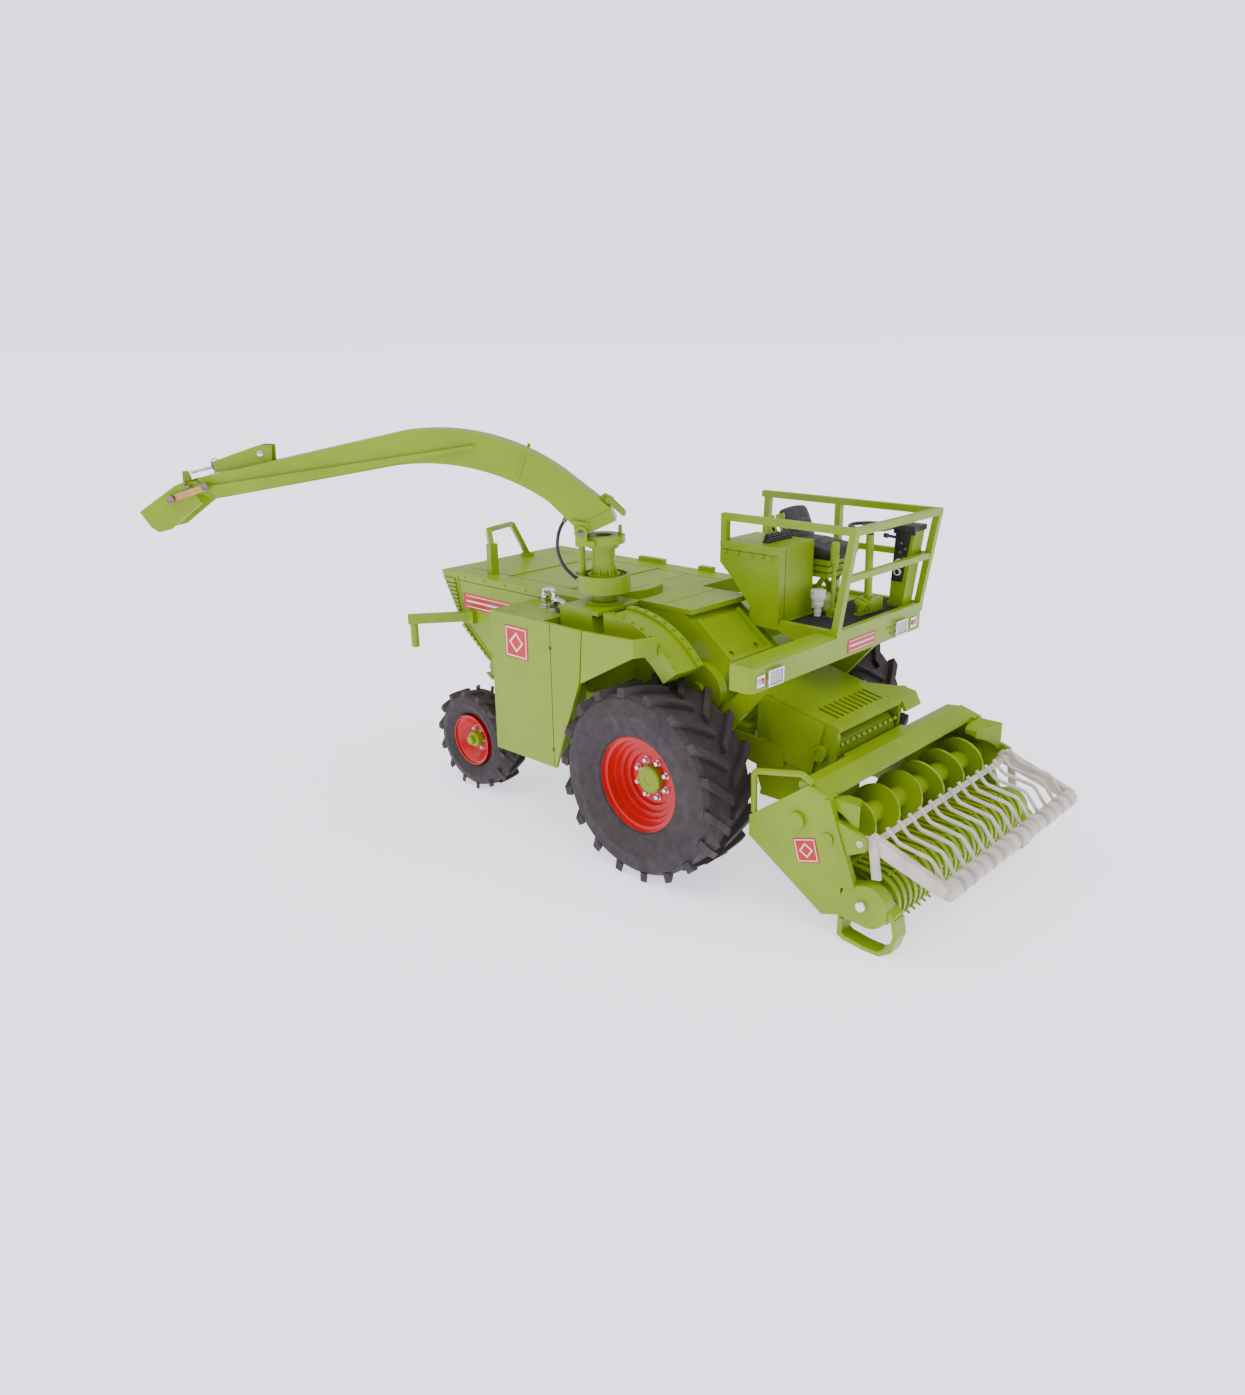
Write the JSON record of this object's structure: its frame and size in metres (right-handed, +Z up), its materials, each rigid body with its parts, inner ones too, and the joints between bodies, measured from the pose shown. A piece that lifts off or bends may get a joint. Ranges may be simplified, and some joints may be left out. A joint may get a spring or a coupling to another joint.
{
  "type": "self-propelled forage harvester scale model",
  "caption": "Die-cast scale model of a self-propelled forage harvester: pickup header, open driver's platform and a swinging, tilting discharge spout.",
  "frame": {"origin": "centre of the bounding box's base, at ground level", "axes": "+X forward towards the pickup header, +Y to the driver's left, +Z up"},
  "size_m": [0.1934, 0.1546, 0.1087],
  "materials": {
    "paint_green": "glossy lime green enamel on die-cast metal",
    "chrome": "bright plated metal",
    "steel_dark": "dark turned steel",
    "steel_bronze": "bronze-toned metal links",
    "white_plastic": "white moulded plastic",
    "rubber_black": "black rubber",
    "paint_red": "glossy red enamel",
    "tyre": "soft dark grey-brown model tyre",
    "black_plastic": "satin black moulded plastic",
    "lamp_glass": "frosted grey lens in a silver frame",
    "lamp_amber": "clear orange lens",
    "seat_vinyl": "dark brown moulded plastic with a vinyl grain",
    "guard": "off-white moulded plastic"
  },
  "bodies": {
    "chassis": {"blower_housing": "paint_green", "chassis_frame": "paint_green", "console_box": "paint_green", "engine_hood": "paint_green", "filler_pipes": "chrome", "floor_filter": "white_plastic", "floor_mat": "rubber_black", "front_shield": "paint_green", "headlamps": "lamp_glass", "hood_lid": "paint_green", "indicator_lamps": "lamp_amber", "inspection_cover": "paint_green", "instrument_panel": "black_plastic", "lamp_bar": "paint_green", "lever_bank": "paint_green", "panel_face": "black_plastic", "platform_deck": "paint_green", "platform_railing": "paint_green", "rear_side_arm": "paint_green", "seat": "seat_vinyl", "seat_suspension": "paint_green", "side_grilles": "paint_green", "side_tank": "paint_green", "spout_rest": "paint_green", "steering_column": "paint_green", "tower_base": "paint_green", "transfer_duct": "paint_green"},
    "front_wheel_right": {"front_tyre_right": "tyre", "front_rim_right": "paint_red", "front_hub_cap_right": "paint_green"},
    "front_wheel_left": {"front_tyre_left": "tyre", "front_rim_left": "paint_red", "front_hub_cap_left": "paint_green"},
    "rear_axle": {"rear_axle": "paint_green"},
    "rear_knuckle_right": {"rear_knuckle_right": "paint_green"},
    "rear_knuckle_left": {"rear_knuckle_left": "paint_green"},
    "rear_wheel_right": {"rear_tyre_right": "tyre", "rear_rim_right": "paint_red"},
    "rear_wheel_left": {"rear_tyre_left": "tyre", "rear_rim_left": "paint_red"},
    "steering_wheel": {"steering_wheel": "black_plastic"},
    "hand_lever": {"hand_lever": "black_plastic"},
    "intake": {"feed_housing": "paint_green", "header_trough": "paint_green", "header_sides": "paint_green", "header_skids": "paint_green", "stripper_bands": "paint_green"},
    "upper_feed_roller": {"upper_feed_roller": "paint_green"},
    "lower_feed_roller": {"lower_feed_roller": "paint_green"},
    "auger": {"auger": "paint_green"},
    "tine_drum": {"tine_drum": "paint_green"},
    "wind_guard": {"wind_guard": "guard"},
    "turret": {"turret": "paint_green", "spout_hose": "rubber_black"},
    "spout": {"spout_duct": "paint_green", "flap_cylinder": "steel_dark"},
    "spout_latch": {"spout_latch": "steel_dark"},
    "end_flap": {"end_flap": "paint_green"},
    "flap_links": {"flap_links": "steel_bronze"},
    "flap_rod": {"flap_rod": "steel_dark"}
  },
  "joints": [
    {"name": "front_wheel_right_spin", "type": "hinge", "parent": "chassis", "child": "front_wheel_right", "pos_m": [0.01766, 0.03182, 0.025], "axis": [0, 1, 0], "continuous": true},
    {"name": "front_wheel_left_spin", "type": "hinge", "parent": "chassis", "child": "front_wheel_left", "pos_m": [0.01766, 0.03182, 0.025], "axis": [0, 1, 0], "continuous": true},
    {"name": "rear_axle_rock", "type": "hinge", "parent": "chassis", "child": "rear_axle", "pos_m": [-0.05784, 0.03182, 0.0173], "axis": [1, 0, 0], "range_deg": [-8, 8]},
    {"name": "rear_knuckle_right_steer", "type": "hinge", "parent": "rear_axle", "child": "rear_knuckle_right", "pos_m": [-0.05784, 0.01032, 0.0153], "axis": [0, 0, 1], "range_deg": [-30, 30]},
    {"name": "rear_wheel_right_spin", "type": "hinge", "parent": "rear_knuckle_right", "child": "rear_wheel_right", "pos_m": [-0.05784, 0.01032, 0.0153], "axis": [0, 1, 0], "continuous": true},
    {"name": "rear_knuckle_left_steer", "type": "hinge", "parent": "rear_axle", "child": "rear_knuckle_left", "pos_m": [-0.05784, 0.05332, 0.0153], "axis": [0, 0, 1], "range_deg": [-30, 30]},
    {"name": "rear_wheel_left_spin", "type": "hinge", "parent": "rear_knuckle_left", "child": "rear_wheel_left", "pos_m": [-0.05784, 0.05332, 0.0153], "axis": [0, 1, 0], "continuous": true},
    {"name": "steering_wheel_turn", "type": "hinge", "parent": "chassis", "child": "steering_wheel", "pos_m": [0.04056, 0.05282, 0.0826], "axis": [0, 0, 1], "range_deg": [-300, 300]},
    {"name": "hand_lever_swing", "type": "hinge", "parent": "chassis", "child": "hand_lever", "pos_m": [0.03626, 0.04342, 0.0612], "axis": [0, 1, 0], "range_deg": [-12, 20]},
    {"name": "header_lift", "type": "hinge", "parent": "chassis", "child": "intake", "pos_m": [0.01966, 0.03182, 0.0316], "axis": [0, -1, 0], "range_deg": [0, 12]},
    {"name": "upper_feed_roller_spin", "type": "hinge", "parent": "intake", "child": "upper_feed_roller", "pos_m": [0.05166, 0.03182, 0.034], "axis": [0, 1, 0], "continuous": true},
    {"name": "lower_feed_roller_spin", "type": "hinge", "parent": "intake", "child": "lower_feed_roller", "pos_m": [0.05026, 0.03182, 0.024], "axis": [0, 1, 0], "continuous": true},
    {"name": "auger_spin", "type": "hinge", "parent": "intake", "child": "auger", "pos_m": [0.06766, 0.03182, 0.024], "axis": [0, 1, 0], "continuous": true},
    {"name": "tine_drum_spin", "type": "hinge", "parent": "intake", "child": "tine_drum", "pos_m": [0.07716, 0.03182, 0.011], "axis": [0, 1, 0], "continuous": true},
    {"name": "wind_guard_lift", "type": "hinge", "parent": "intake", "child": "wind_guard", "pos_m": [0.07576, 0.03182, 0.0255], "axis": [0, -1, 0], "range_deg": [0, 60]},
    {"name": "spout_swing", "type": "hinge", "parent": "chassis", "child": "turret", "pos_m": [-0.00734, 0.00382, 0.07], "axis": [0, 0, 1], "range_deg": [-102, 58]},
    {"name": "spout_tilt", "type": "hinge", "parent": "turret", "child": "spout", "pos_m": [-0.01135, 0.00021, 0.0834], "axis": [-0.6691, 0.7431, 0], "range_deg": [-20, 25], "deforming": ["spout_hose"]},
    {"name": "spout_latch_swing", "type": "hinge", "parent": "spout", "child": "spout_latch", "pos_m": [-0.00623, 0.00482, 0.0908], "axis": [-0.6691, 0.7431, 0], "range_deg": [-60, 0]},
    {"name": "end_flap_swing", "type": "hinge", "parent": "spout", "child": "end_flap", "pos_m": [-0.08372, -0.06495, 0.0959], "axis": [-0.6691, 0.7431, 0], "range_deg": [-12, 25]},
    {"name": "flap_links_swing", "type": "hinge", "parent": "spout", "child": "flap_links", "pos_m": [-0.08001, -0.06161, 0.0958], "axis": [-0.6691, 0.7431, 0], "range_deg": [-8, 16]},
    {"name": "flap_rod_slide", "type": "slide", "parent": "spout", "child": "flap_rod", "axis": [-0.7232, -0.6512, -0.2301], "range_m": [-0.0014, 0.0008]}
  ],
  "couplings": [
    {"joint": "steering_wheel_turn", "follows": "rear_knuckle_right_steer", "ratio": 10},
    {"joint": "rear_knuckle_left_steer", "follows": "rear_knuckle_right_steer", "ratio": 1},
    {"joint": "lower_feed_roller_spin", "follows": "upper_feed_roller_spin", "ratio": -1.3889},
    {"joint": "flap_links_swing", "follows": "end_flap_swing", "ratio": 0.5},
    {"joint": "flap_rod_slide", "follows": "end_flap_swing", "m_per_rad": -0.0028}
  ]
}
